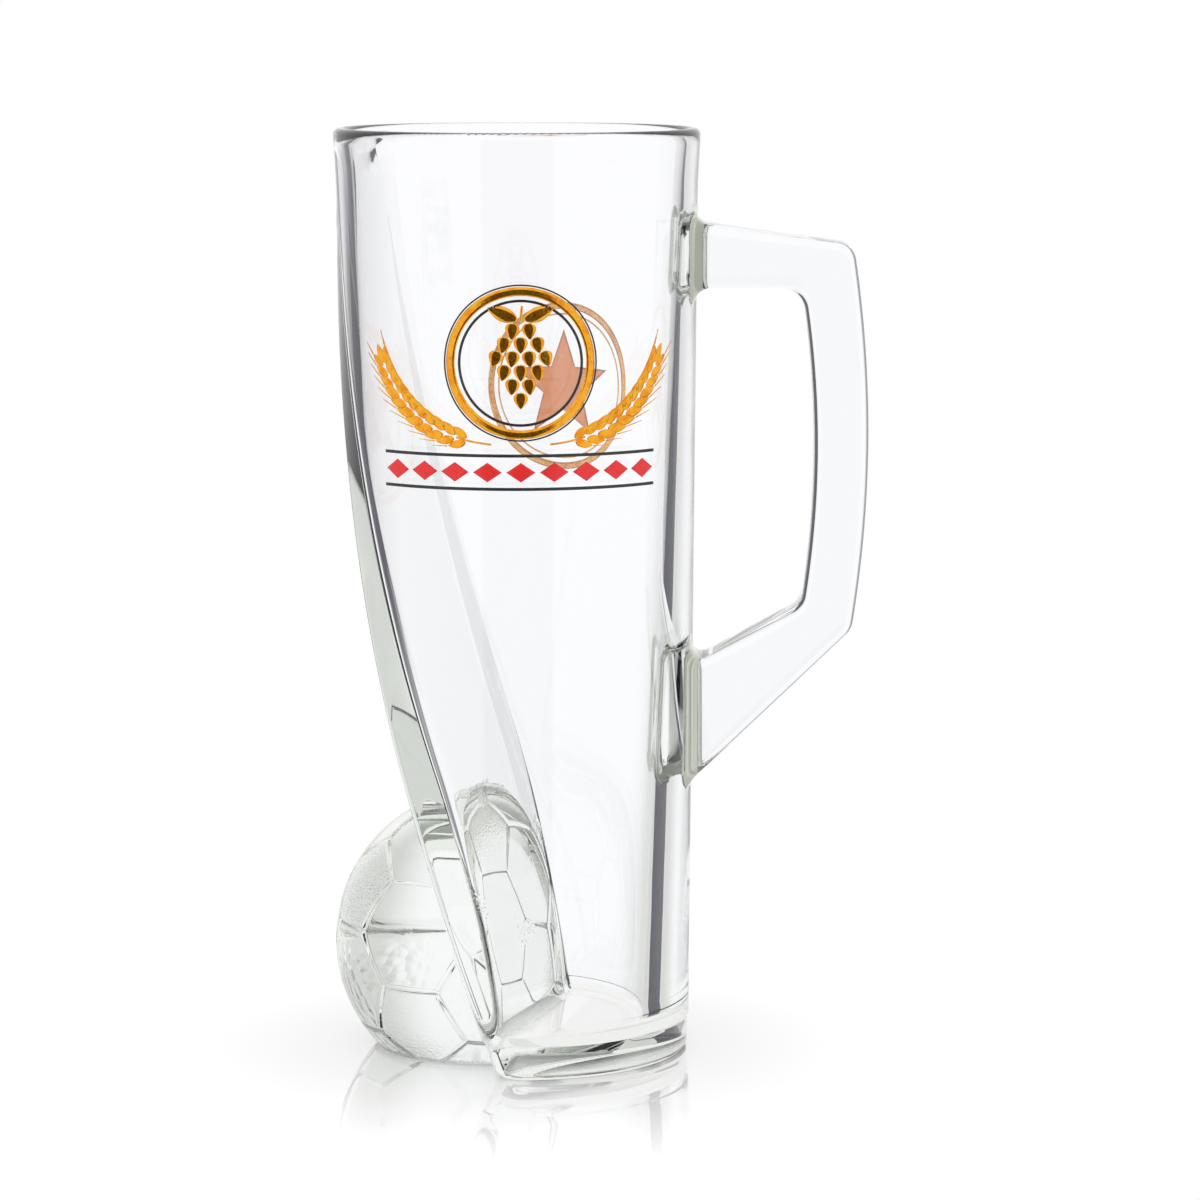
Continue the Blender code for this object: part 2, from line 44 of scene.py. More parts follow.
tube = {
    "height": 0.215,
    "footRadius": 0.0399,
    "topRadius": 0.0418,
    "lipFlare": 0.0005,
    "flareHeight": 0.014,
    "edgeRadius": 0.0015,
    "contactWidth": 0.007,
    "recessDepth": 0.001,
    "recessDraft": 0.0015,
    "lineHeight": 0.0078,
    "lineStep": 0.0004,
    "steps": {"edge": 7, "line": 7, "wall": 96, "shoulder": 10, "lip": 15, "inside": 90, "fillet": 9},
}
cavity = {
    "rimWall": 0.0032,
    "footWall": 0.0103,
    "floor": 0.007,
    "fillet": 0.0035,
    # each corner's foot, top, reach and power, the far side's first
    "corners": ((0.002, 0.003, 0.11, 1), (0.002, 0.008, 0.11, 1)),
    "shoulderLength": 0.010,
}
facet = {
    "footOffset": -0.004,
    "lean": math.radians(17.2),
    "bendHeight": 0.067,
    "topDepth": 0.0011,
    "corners": ((0.004, 0.0003, 0.207, 8), (0.007, 0.0025, 0.207, 3)),
    "footWall": 0.0004,
    "bendWall": 0.0078,
    "topWall": 0.0052,
    "shoulderDrop": 0.0045,
    "shoulderLength": 0.0035,
}
shoulderTop = tube["height"] - facet["shoulderDrop"]
shoulderFoot = shoulderTop - facet["shoulderLength"]


def smoothStep(t):  # 3t^2 - 2t^3 between 0 and 1
    t = np.clip(t, 0.0, 1.0)
    return t * t * (3 - 2 * t)


def tubeRadius(z):  # a cone, plus a smooth flare over the top few millimetres
    flare = smoothStep((z - tube["height"] + tube["flareHeight"]) / tube["flareHeight"])
    cone = tube["footRadius"] + (tube["topRadius"] - tube["footRadius"]) * z / tube["height"]
    return cone + tube["lipFlare"] * flare


def cavityRadius(z):  # the tube less a wall that grows evenly with the depth below the rim
    depth = np.clip((tube["height"] - z) / (tube["height"] - cavity["floor"]), 0.0, 1.0)
    return tubeRadius(z) - cavity["rimWall"] - (cavity["footWall"] - cavity["rimWall"]) * depth


def facetOffset(z):
    # a straight lean up to the bend, then an arc that starts at that slope and ends at the shoulder
    bend = facet["bendHeight"]
    bendOffset = facet["footOffset"] + math.tan(facet["lean"]) * bend
    rise = shoulderFoot - bend
    run = float(tubeRadius(np.array(shoulderFoot))) - facet["topDepth"] - bendOffset
    turn = facet["lean"] - math.atan2(run, rise)
    radius = math.hypot(rise, run) / (2 * math.sin(turn))
    sine = np.clip(math.sin(facet["lean"]) - (z - bend) / radius, -0.99, 0.99)
    arc = bendOffset + radius * (np.sqrt(1 - sine**2) - math.cos(facet["lean"]))
    return np.where(z <= bend, facet["footOffset"] + math.tan(facet["lean"]) * z, arc)


def cavityOffset(z):
    # the outer facet less a wall that swells to the bend on a parabola and thins evenly above it
    bend = facet["bendHeight"]
    below = np.clip(1 - z / bend, 0, 1)
    above = np.clip((z - bend) / (shoulderFoot - bend), 0, 1)
    swell = facet["bendWall"] + (facet["footWall"] - facet["bendWall"]) * below**2
    thin = (facet["topWall"] - facet["bendWall"]) * above
    return facetOffset(z) - swell - thin


sectionCounts = {"arc": 60, "corner": 8, "chord": 16}


def halfSection(radius, offset, corner):
    # circle arc from +X, a fillet arc, then the chord at x = -offset up to its middle
    swing = np.arccos((offset - corner) / (radius - corner))[:, None]
    radius, offset, corner = radius[:, None], offset[:, None], corner[:, None]
    u = np.linspace(0, 1, sectionCounts["arc"] + 1)
    v = np.linspace(0, 1, sectionCounts["corner"] + 1)[1:]
    w = np.linspace(0, 1, sectionCounts["chord"] + 1)[1:]
    arcTurn = (math.pi - swing) * u
    filletTurn = math.pi - swing * (1 - v)
    centreY = (radius - corner) * np.sin(swing)
    arc = (radius * np.cos(arcTurn), radius * np.sin(arcTurn))
    fillet = (corner - offset + corner * np.cos(filletTurn), centreY + corner * np.sin(filletTurn))
    chord = (-offset + 0 * w, centreY * (1 - w))
    return tuple(np.hstack(parts) for parts in zip(arc, fillet, chord))


def levels(z, inset, height, radiusOf, offsetOf, corners, shoulderLength):
    # one D-shaped ring for each level, the mirrored half with its own corner; past the shoulder each
    # point slides out along its ray to the full circle
    z = np.asarray(z, float)
    inset = np.broadcast_to(np.asarray(inset, float), z.shape)
    height = z if height is None else height
    radius = radiusOf(z) - inset
    halves = []
    for foot, top, reach, power in corners:
        size = top + (foot - top) * np.clip(1 - z / reach, 0, 1) ** power
        halves.append(halfSection(radius, offsetOf(z) - inset, np.maximum(size - inset, size / 4)))
    (x, y), (nearX, nearY) = halves
    x, y = np.hstack([x, nearX[:, -2:0:-1]]), np.hstack([y, -nearY[:, -2:0:-1]])
    blend = smoothStep((z - shoulderTop + shoulderLength) / shoulderLength)[:, None]
    scale = 1 + blend * (radius[:, None] / np.hypot(x, y) - 1)
    return np.stack([x * scale, y * scale, np.broadcast_to(height[:, None], x.shape)], axis=2)


def outerLevels(z, inset=0.0, height=None):  # rings on the tube's outside, drawn in by inset
    return levels(z, inset, height, tubeRadius, facetOffset,
                  facet["corners"], facet["shoulderLength"])


def innerLevels(z, inset=0.0, height=None):  # rings on the cavity's wall, drawn in by inset
    return levels(z, inset, height, cavityRadius, cavityOffset,
                  cavity["corners"], cavity["shoulderLength"])


def gridFaces(rows, columns, closed=False):  # quads between neighbouring points of a grid, in one array
    across = columns if closed else columns - 1
    r, c = np.meshgrid(np.arange(rows - 1), np.arange(across), indexing="ij")
    low = (r * columns + c).ravel()
    low2 = (r * columns + (c + 1) % columns).ravel()
    return np.stack([low, low2, low2 + columns, low + columns], axis=1)


def meshObject(name, points, faces, caps=()):  # points about the tube's axis, shifted to the shared frame
    points = np.asarray(points, float).reshape(-1, 3) + (axisX, 0, 0)
    mesh = bpy.data.meshes.new(name)
    mesh.from_pydata(points, [], [*map(tuple, faces.tolist()), *caps])
    mesh.update()
    mesh.shade_smooth()
    obj = bpy.data.objects.new(name, mesh)
    bpy.context.scene.collection.objects.link(obj)
    return obj


def weld(obj, distance=2e-6, outwards=True):  # merges shared points and turns every face outwards
    bm = bmesh.new()
    bm.from_mesh(obj.data)
    bmesh.ops.remove_doubles(bm, verts=bm.verts, dist=distance)
    bmesh.ops.dissolve_degenerate(bm, edges=bm.edges, dist=1e-7)
    if outwards:
        bmesh.ops.recalc_face_normals(bm, faces=bm.faces)
    bm.to_mesh(obj.data)
    bm.free()
    return obj


def loftObject(name, rings):  # rings of equal point counts as one grid, with a flat cap at both ends
    rows, columns = rings.shape[:2]
    first = tuple(range(columns))[::-1]
    last = tuple(range((rows - 1) * columns, rows * columns))
    return weld(meshObject(name, rings, gridFaces(rows, columns, closed=True), (first, last)))


def makeTube():
    # rings from the recess round the foot's edge, up the outside, over the lip and down to the floor
    height, steps = tube["height"], tube["steps"]
    # the lip's half circle ends on the inner wall, which is a little thicker there than at the very rim
    lip = cavity["rimWall"] / (2 - (cavity["footWall"] - cavity["rimWall"]) / (height - cavity["floor"]))
    contact = np.array([tube["contactWidth"] + tube["recessDraft"], tube["contactWidth"]])
    underside = outerLevels(np.zeros(2), contact, np.array([tube["recessDepth"], 0.0]))
    step, line, edgeRadius = tube["lineStep"], tube["lineHeight"], tube["edgeRadius"]
    turn = np.linspace(0, math.pi / 2, steps["edge"])
    edge = outerLevels(edgeRadius * (1 - np.cos(turn)), step + edgeRadius * (1 - np.sin(turn)))
    rise = np.linspace(0, 1, steps["line"])
    mouldLine = outerLevels(line + step * rise, step * (1 - smoothStep(rise)))
    shoulder = np.linspace(shoulderFoot, shoulderTop, steps["shoulder"])[1:]
    top = [*shoulder, height - lip * 2, height - lip]
    wall = np.concatenate([np.linspace(line + step, shoulderFoot, steps["wall"])[1:], top])
    lipTurn = np.linspace(0, math.pi, steps["lip"])[1:-1]
    rim = outerLevels(np.full(len(lipTurn), height), lip * (1 - np.cos(lipTurn)),
                      height - lip + lip * np.sin(lipTurn))
    fillet = cavity["fillet"]
    floorFoot = cavity["floor"] + fillet
    inside = np.concatenate([np.linspace(floorFoot, shoulderFoot, steps["inside"]), top])[::-1]
    bend = np.linspace(0, math.pi / 2, steps["fillet"])[1:]
    floor = innerLevels(np.full(len(bend), floorFoot), fillet * (1 - np.cos(bend)),
                        cavity["floor"] + fillet * (1 - np.sin(bend)))
    rings = [underside, edge, mouldLine, outerLevels(wall), rim, innerLevels(inside), floor]
    return loftObject("tubeGlass", np.concatenate(rings))


seat = {"below": 0.006, "top": 0.225, "wallSteps": 70, "topSteps": 12}


def envelope(name, inset):  # the tube's outside as a solid block, drawn in by inset
    wall = np.linspace(-seat["below"], shoulderFoot, seat["wallSteps"])
    top = np.linspace(shoulderFoot, seat["top"], seat["topSteps"])[1:]
    return loftObject(name, outerLevels(np.concatenate([wall, top]), inset))


ball = {
    "radius": 0.0354,
    "forward": 0.008,
    "height": 0.0248,
    "turn": math.radians(4.5),
    "seamWidth": 0.0004,
    "seamDepth": 0.0006,
    "rows": 18,
    "columns": 25,
    "rowPower": 1.5,  # draws the rows together towards the seams
    "dimpleDepth": 0.00002,
    "dimplePitch": 0.0013,
    "dimpleMargin": 0.0008,
    "dimpleWays": ((1.0, 0.2, 0.1), (-0.3, 1.0, 0.2), (0.1, -0.3, 1.0)),
    "stippleStart": 0.0006,
    "stippleFade": 0.001,
    "bury": 0.002,
    "ground": 0.0003,
    "groundMargin": 0.0002,
}


def ballPanels():
    # an icosahedron on its corner gives 12 pentagons at its corners and 20 hexagons at its faces
    ring = np.arange(5) * 2 * math.pi / 5
    low = np.stack([-np.cos(ring), -np.sin(ring), np.full(5, -0.5)], axis=1)
    low = low / np.linalg.norm(low[0])
    tips = np.concatenate([[[0, 0, -1.0]], low, -low, [[0, 0, 1.0]]])
    cosine, sine = math.cos(ball["turn"]), math.sin(ball["turn"])
    tips = tips @ np.array([[cosine, -sine, 0], [sine, cosine, 0], [0, 0, 1]]).T
    gap = np.linalg.norm(tips[:, None] - tips[None], axis=2)
    near = (gap > 0.1) & (gap < 1.2)
    return tips, near


def ballSectors():
    # each panel is cut into triangles from its middle to its edges: middle, first corner, second corner,
    # panel kind
    tips, near = ballPanels()
    middle, first, second, kind = [], [], [], []
    for i in range(12):
        for j in np.flatnonzero(near[i]):
            for k in np.flatnonzero(near[i] & near[j]):
                if np.dot(np.cross(tips[j] - tips[i], tips[k] - tips[i]), tips[i]) < 0:
                    continue
                a, b = (2 * tips[i] + tips[j]) / 3, (2 * tips[i] + tips[k]) / 3
                c = (2 * tips[j] + tips[i]) / 3
                face = (tips[i] + tips[j] + tips[k]) / 3
                pentagon = (2 * tips[i] + tips[near[i]].mean(axis=0)) / 3
                middle += [pentagon, face, face]
                first += [a, b, a]
                second += [b, a, c]
                kind += [1.0, 0.0, 0.0]
    return np.array(middle), np.array(first), np.array(second), np.array(kind)


def makeBall():
    # flat panels pushed out to the sphere; a groove follows each edge, and the pentagons carry dimples
    middle, first, second, kind = ballSectors()
    rows, columns = ball["rows"], ball["columns"]
    share = 1 - np.linspace(1, 0, rows) ** ball["rowPower"]
    along = np.linspace(0, 1, columns)
    edge = first[:, None, :] + along[None, :, None] * (second - first)[:, None, :]
    spoke = (edge - middle[:, None, :])[:, None, :, :]
    flat = middle[:, None, None, :] + share[None, :, None, None] * spoke
    direction = flat / np.linalg.norm(flat, axis=3, keepdims=True)
    apothem = np.linalg.norm((first + second) / 2 - middle, axis=1) * ball["radius"]
    seam = (1 - share)[None, :, None] * apothem[:, None, None]
    groove = ball["seamDepth"] * np.exp(-((seam / ball["seamWidth"]) ** 2))
    pitch = 2 * math.pi / ball["dimplePitch"]
    waves = [np.cos(pitch * ball["radius"] * (direction @ np.array(way))) for way in ball["dimpleWays"]]
    dimple = sum(waves) / len(waves)
    margin = ball["dimpleMargin"]
    fade = smoothStep((seam - margin) / margin) * kind[:, None, None]
    reach = ball["radius"] - groove + ball["dimpleDepth"] * dimple * fade
    points = direction * reach[..., None] + (-ball["forward"], 0, ball["height"])
    start = (np.arange(len(middle)) * rows * columns)[:, None, None]
    faces = (gridFaces(rows, columns)[None] + start).reshape(-1, 4)
    return weld(meshObject("ballGlass", points, faces))


handle = {
    "turn": math.radians(14.5),
    "reach": 0.0811,
    "width": 0.018,
    "edge": 0.0022,
    "edgePoints": 8,
    "gripDepth": 0.0119,
    "bow": 0.0036,
    "innerBow": 0.0029,
    "upperDrop": 0.0266,
    "upperDepth": 0.0099,
    "upperRise": 0.0053,
    "fingerSpace": 0.0736,
    "lowerFall": 0.0362,
    "lowerDepth": 0.0051,
    "lowerRoot": 0.0275,
    "outerKnee": 0.004,
    "innerKnee": 0.005,
    "padFlare": 0.0040,
    "padLength": 0.0030,
    "padRings": 24,
    "padRound": 0.6,  # share of the flare by which the edges round off more
    "padClear": 1.3,  # in pad lengths, where the plain strap starts
    "wallOverlap": 0.00005,
    "sink": 0.004,
    "bury": 0.0013,
    "counts": {"arm": 40, "knee": 14, "grip": 30},
}


def kneeLine(points, radius, bow):
    # straight arms and grip joined by quadratic curves at the knees; the grip bows out on a parabola
    root, knee, lowKnee, lowRoot = (np.array(p) for p in points)
    counts = handle["counts"]
    curves = []
    for before, corner, after in ((root, knee, lowKnee), (knee, lowKnee, lowRoot)):
        back = (before - corner) / np.linalg.norm(before - corner)
        ahead = (after - corner) / np.linalg.norm(after - corner)
        reach = radius / math.tan(math.acos(float(back @ ahead)) / 2)
        t = np.linspace(0, 1, counts["knee"] + 1)[:, None]
        start, end = corner + back * reach, corner + ahead * reach
        curves.append((1 - t) ** 2 * start + 2 * t * (1 - t) * corner + t**2 * end)
    upper, lower = curves
    arm = np.linspace(0, 1, counts["arm"] + 1)[:, None]
    grip = np.linspace(0, 1, counts["grip"] + 1)[1:-1, None]
    upperArm = root + (upper[0] - root) * arm[:-1]
    gripLine = upper[-1] + (lower[0] - upper[-1]) * grip
    lowerArm = lower[-1] + (lowRoot - lower[-1]) * arm[1:]
    line = np.concatenate([upperArm, upper, gripLine, lower, lowerArm])
    middle, span = (knee[1] + lowKnee[1]) / 2, knee[1] - lowKnee[1]
    line[:, 0] += bow * np.clip(1 - (2 * (line[:, 1] - middle) / span) ** 2, 0, None)
    return line


def padStations(outer, inner, wall):
    # stations from inside the wall to the pad's end; both outlines swell there like a quarter ellipse,
    # on each side by the run of a fillet in the angle between arm and wall
    quarter = 1 - np.cos(np.linspace(0, math.pi / 2, handle["padRings"]))
    t = np.concatenate([[-handle["sink"] / handle["padLength"]], quarter])
    rise = handle["padFlare"] * (1 - np.sqrt(1 - (1 - np.clip(t, 0, 1)) ** 2))
    side = (outer[0] - inner[0]) / np.linalg.norm(outer[0] - inner[0])
    lines = []
    for line, way in ((outer, side), (inner, -side)):
        ahead = (line[1] - line[0]) / np.linalg.norm(line[1] - line[0])
        run = math.sqrt((1 + ahead @ way) / (1 - ahead @ way))
        place = line[0] + ahead * ((wall + t * handle["padLength"] - line[0, 0]) / ahead[0])[:, None]
        lines.append(place + way * rise[:, None] * run)
    return np.hstack([*lines, t[:, None], rise[:, None], np.full((len(t), 1), wall)])


def makeHandle():
    # a rounded rectangle carried along the strap; near the tube it swells into a pad, which is drawn
    # back round the tube by the circle's sag at each point's width
    kneeX = handle["reach"] - handle["bow"]
    gripX = kneeX - handle["gripDepth"]
    upper = tube["height"] - handle["upperDrop"]
    under = upper - handle["upperDepth"]
    lowInner = under - handle["fingerSpace"]
    lowOuter = lowInner - handle["lowerDepth"]
    lowRoot = lowOuter - handle["lowerFall"]
    root = tube["footRadius"]
    outerRoot = upper + handle["upperRise"]
    innerRoot = lowRoot + handle["lowerRoot"]
    outerCorners = ((root, outerRoot), (kneeX, upper), (kneeX, lowOuter), (root, lowRoot))
    innerCorners = ((root, under), (gripX, under), (gripX, lowInner), (root, innerRoot))
    outer = kneeLine(outerCorners, handle["outerKnee"], handle["bow"])
    inner = kneeLine(innerCorners, handle["innerKnee"], handle["innerBow"])
    clear = tube["topRadius"] + handle["padLength"] * handle["padClear"]
    free = np.minimum(outer[:, 0], inner[:, 0]) > clear
    walls = [float(tubeRadius((outer[i, 1] + inner[i, 1]) / 2)) - handle["wallOverlap"] for i in (0, -1)]
    strap = np.hstack([outer[free], inner[free], np.tile((1.0, 0.0, root), (free.sum(), 1))])
    lower = padStations(outer[::-1], inner[::-1], walls[1])[::-1]
    stations = np.concatenate([padStations(outer, inner, walls[0]), strap, lower])
    outer, inner = stations[:, :2], stations[:, 2:4]
    t, rise, wall = (stations[:, i:i + 1] for i in (4, 5, 6))
    depth = np.linalg.norm(outer - inner, axis=1, keepdims=True) / 2
    across = (outer - inner) / (2 * depth)
    middle = (outer + inner) / 2
    quarter = np.linspace(0, math.pi / 2, handle["edgePoints"])
    angle = np.concatenate([quarter + i * math.pi / 2 for i in range(4)])
    sideU = np.repeat([1, -1, -1, 1], handle["edgePoints"])
    sideV = np.repeat([1, 1, -1, -1], handle["edgePoints"])
    edge = handle["edge"] + rise * handle["padRound"]
    u = sideU * (depth - edge) + edge * np.cos(angle)
    v = sideV * (handle["width"] / 2 + rise - edge) + edge * np.sin(angle)
    sag = (wall - np.sqrt(wall**2 - v**2)) * (1 - np.clip(t, 0, 1))
    x = middle[:, :1] + across[:, :1] * u - sag
    z = middle[:, 1:] + across[:, 1:] * u
    cosine, sine = math.cos(handle["turn"]), math.sin(handle["turn"])
    return loftObject("handleGlass", np.stack([x * cosine - v * sine, x * sine + v * cosine, z], axis=2))


groundBlock = {"half": 0.06, "depth": 0.04}


def makeGround():  # a block whose top cuts the ball level with the table
    half = groundBlock["half"]
    heights = (-groundBlock["depth"], ball["ground"])
    corners = np.array([(x, y, z) for x in (-half, half) for y in (-half, half) for z in heights])
    faces = np.array([(0, 1, 3, 2), (4, 6, 7, 5), (0, 4, 5, 1), (2, 3, 7, 6), (0, 2, 6, 4), (1, 5, 7, 3)])
    return weld(meshObject("ground", corners, faces))


def applyBoolean(obj, other, operation):  # obj takes the result as its mesh, and other is used up
    modifier = obj.modifiers.new("join", "BOOLEAN")
    modifier.operation = operation
    modifier.solver = "MANIFOLD"
    modifier.object = other
    graph = bpy.context.evaluated_depsgraph_get()
    mesh = bpy.data.meshes.new_from_object(obj.evaluated_get(graph))
    obj.modifiers.clear()
    old = obj.data
    obj.data = mesh
    bpy.data.meshes.remove(old)
    oldOther = other.data
    bpy.data.objects.remove(other)
    bpy.data.meshes.remove(oldOther)


def meshPoints(mesh):  # the mesh's points as rows of x, y, z
    points = np.empty(len(mesh.vertices) * 3)
    mesh.vertices.foreach_get("co", points)
    return points.reshape(-1, 3)


def stippleAttribute(mesh):
    # 1 on the ball's pentagons, fading out beside their seams: the nearest panel is the one whose plane
    # reaches out furthest, and the seam lies where the next one reaches as far
    tips, near = ballPanels()
    i, j = np.nonzero(np.triu(near))
    faces = np.array([(a, b, c) for a in range(12) for b in range(a) for c in range(b)
                      if near[a, b] and near[b, c] and near[a, c]])
    corner = (2 * tips[i[0]] + tips[j[0]]) / 3
    hexagons = tips[faces].mean(axis=1)
    hexagons /= np.linalg.norm(hexagons, axis=1, keepdims=True)
    pentagonReach = float(corner @ tips[i[0]])
    hexagonReach = float((hexagons @ corner).max())
    planes = np.concatenate([tips / pentagonReach, hexagons / hexagonReach])
    offset = meshPoints(mesh) - (axisX - ball["forward"], 0, ball["height"])
    far = np.linalg.norm(offset, axis=1)
    direction = offset / far[:, None]
    reach = direction @ planes.T
    order = np.argsort(-reach, axis=1)[:, :2]
    across = planes[order[:, 0]] - planes[order[:, 1]]
    across /= np.linalg.norm(across, axis=1, keepdims=True)
    onBall = np.abs(far - ball["radius"]) < ball["seamDepth"] * 1.5
    onBall &= offset[:, 2] > ball["ground"] + ball["groundMargin"] - ball["height"]
    distance = np.arcsin(np.clip((direction * across).sum(axis=1), -1, 1)) * ball["radius"]
    fade = smoothStep((distance - ball["stippleStart"]) / ball["stippleFade"])
    stipple = onBall * (order[:, 0] < len(tips)) * fade
    values = mesh.attributes.new("stipple", "FLOAT", "POINT").data
    values.foreach_set("value", stipple.astype(np.float32))


def nodeTools(owner):
    # an empty node tree with short ways to add a node, link two sockets, work out a sum or product of
    # sockets and numbers, ramp a value smoothly, blend two colours and mix two shaders
    owner.use_nodes = True
    tree = owner.node_tree
    tree.nodes.clear()
    link = tree.links.new

    def add(kind, **settings):
        node = tree.nodes.new(kind)
        for key, value in settings.items():
            if key in node.inputs:
                node.inputs[key].default_value = value
            else:
                setattr(node, key, value)
        return node

    def calc(operation, a, b=None, c=None):
        node = add("ShaderNodeMath", operation=operation)
        for socket, value in zip(node.inputs, (a, b, c)):
            if isinstance(value, (int, float)):
                socket.default_value = value
            elif value is not None:
                link(value, socket)
        return node.outputs[0]

    def ramp(value, low, high, start=0.0, end=1.0):
        node = add("ShaderNodeMapRange", interpolation_type="SMOOTHSTEP")
        link(value, node.inputs["Value"])
        for key, number in (("From Min", low), ("From Max", high), ("To Min", start), ("To Max", end)):
            node.inputs[key].default_value = number
        return node.outputs[0]

    def blend(factor, a, b):
        node = add("ShaderNodeMix", data_type="RGBA")
        link(factor, node.inputs[0])
        for socket, value in ((node.inputs[6], a), (node.inputs[7], b)):
            if isinstance(value, tuple):
                socket.default_value = (*value, 1)
            else:
                link(value, socket)
        return node.outputs[2]

    def mix(factor, first, second):
        node = add("ShaderNodeMixShader")
        for output, socket in zip((factor, first.outputs[0], second.outputs[0]), node.inputs):
            link(output, socket)
        return node

    return SimpleNamespace(add=add, link=link, calc=calc, ramp=ramp, blend=blend, mix=mix)


glassLook = {
    "waveScale": 38.0,
    "waveStrength": 0.25,
    "waveHeight": 0.00025,
    "gritScale": 1500.0,
    "gritStrength": 0.5,
    "gritHeight": 0.00018,
    "tint": (0.82, 0.90, 0.76),
    "tintDensity": 4.5,
}
finishesAndShade = {  # in the order of finishAndShadeIndex
    "pressedGlass": {},
    "groundGlass": {"colour": (0.86, 0.87, 0.85), "roughness": 0.5, "ior": 1.03},
    # painted shade: the joint coat is a matte olive-grey layer on the flared joints, in place of the
    # darker olive band the thick glass shows there
    "jointShadeGlass": {"colour": (0.60, 0.63, 0.53), "clearness": 0.4},
    "cutGlass": {"clearness": 0.9, "roughness": 0.5},
}


def glassMaterial(name, colour=(1.0, 1.0, 1.0), clearness=1.0, roughness=0.0, ior=1.5):
    # glass with slow waves, grit where the stipple attribute is set and a faint tint; it casts no shadow
    material = bpy.data.materials.new(name)
    nodes = nodeTools(material)
    add, link = nodes.add, nodes.link
    coords = add("ShaderNodeTexCoord").outputs["Object"]
    waves = add("ShaderNodeTexNoise", Scale=glassLook["waveScale"], Detail=1.0)
    link(coords, waves.inputs["Vector"])
    softBump = add("ShaderNodeBump", Strength=glassLook["waveStrength"], Distance=glassLook["waveHeight"])
    link(waves.outputs["Fac"], softBump.inputs["Height"])
    grit = add("ShaderNodeTexVoronoi", Scale=glassLook["gritScale"])
    link(coords, grit.inputs["Vector"])
    stipple = add("ShaderNodeAttribute", attribute_name="stipple")
    gritBump = add("ShaderNodeBump", Strength=glassLook["gritStrength"], Distance=glassLook["gritHeight"])
    gritty = nodes.calc("MULTIPLY", grit.outputs["Distance"], stipple.outputs["Fac"])
    link(gritty, gritBump.inputs["Height"])
    link(softBump.outputs["Normal"], gritBump.inputs["Normal"])
    body = add("ShaderNodeBsdfPrincipled", Roughness=roughness, IOR=ior)
    body.inputs["Base Color"].default_value = (*colour, 1)
    body.inputs["Transmission Weight"].default_value = clearness
    link(gritBump.outputs["Normal"], body.inputs["Normal"])
    path = add("ShaderNodeLightPath")
    surface = nodes.mix(path.outputs["Is Shadow Ray"], body, add("ShaderNodeBsdfTransparent"))
    tint = add("ShaderNodeVolumeAbsorption", Density=glassLook["tintDensity"])
    tint.inputs["Color"].default_value = (*glassLook["tint"], 1)
    out = add("ShaderNodeOutputMaterial")
    link(surface.outputs[0], out.inputs["Surface"])
    link(tint.outputs[0], out.inputs["Volume"])
    return material


finishAndShadeLimits = {
    "underShare": 1.2,  # of the recess's depth
    "underSlope": -0.5,
    "jointAhead": 0.03,
    "jointProud": 0.0001,
    "jointShare": 0.8,  # of the pad's length
}


def finishAndShadeIndex(mesh):
    # per face: 1 under the tube, 2 on the flared joints just outside it on the handle's side, where a
    # matte olive-grey coat paints shade, 3 under the ball, else 0
    centre = np.empty(len(mesh.polygons) * 3)
    mesh.polygons.foreach_get("center", centre)
    normal = np.empty(len(mesh.polygons) * 3)
    mesh.polygons.foreach_get("normal", normal)
    x, y, z = (centre.reshape(-1, 3) - (axisX, 0, 0)).T
    under = z < tube["recessDepth"] * finishAndShadeLimits["underShare"]
    under &= normal.reshape(-1, 3)[:, 2] < finishAndShadeLimits["underSlope"]
    ahead = x * math.cos(handle["turn"]) + y * math.sin(handle["turn"])
    proud = np.hypot(x, y) - tubeRadius(z)
    joint = (ahead > finishAndShadeLimits["jointAhead"]) & (proud > finishAndShadeLimits["jointProud"])
    joint &= proud < handle["padLength"] * finishAndShadeLimits["jointShare"]
    ballUnder = under & (x < -facet["footOffset"])
    return np.where(ballUnder, 3, np.where(under, 1, np.where(joint, 2, 0))).astype(np.int32)


sharpAngle = math.radians(35)
glass = makeTube()
print("tube", len(glass.data.polygons))
ballPiece = makeBall()
applyBoolean(ballPiece, envelope("ballSeat", ball["bury"]), "DIFFERENCE")
applyBoolean(ballPiece, makeGround(), "DIFFERENCE")
print("ball", len(ballPiece.data.polygons))
handlePiece = makeHandle()
applyBoolean(handlePiece, envelope("handleSeat", handle["bury"]), "DIFFERENCE")
print("handle", len(handlePiece.data.polygons))
applyBoolean(glass, ballPiece, "UNION")
applyBoolean(glass, handlePiece, "UNION")
glass.name = "mug_glass"
glass.data.name = "mug_glass"
glass.data.shade_smooth()
glass.data.set_sharp_from_angle(angle=sharpAngle)
stippleAttribute(glass.data)
glass.data.materials.clear()
for surfaceLookName, surfaceLook in finishesAndShade.items():
    glass.data.materials.append(glassMaterial(surfaceLookName, **surfaceLook))
# index 2 puts the painted-shade coat on the flared joints
glass.data.polygons.foreach_set("material_index", finishAndShadeIndex(glass.data))
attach(glass, "root")
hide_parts("mug_body", "handle", "football")
print("glass", len(glass.data.polygons), "faces")


def ringFigure(radius, width):  # two circles joined all round
    turn = np.linspace(0, 2 * math.pi, 145)
    r = radius - width * np.linspace(0, 1, 4)[:, None]
    return np.stack([r * np.sin(turn), r * np.cos(turn)], axis=2)[None]


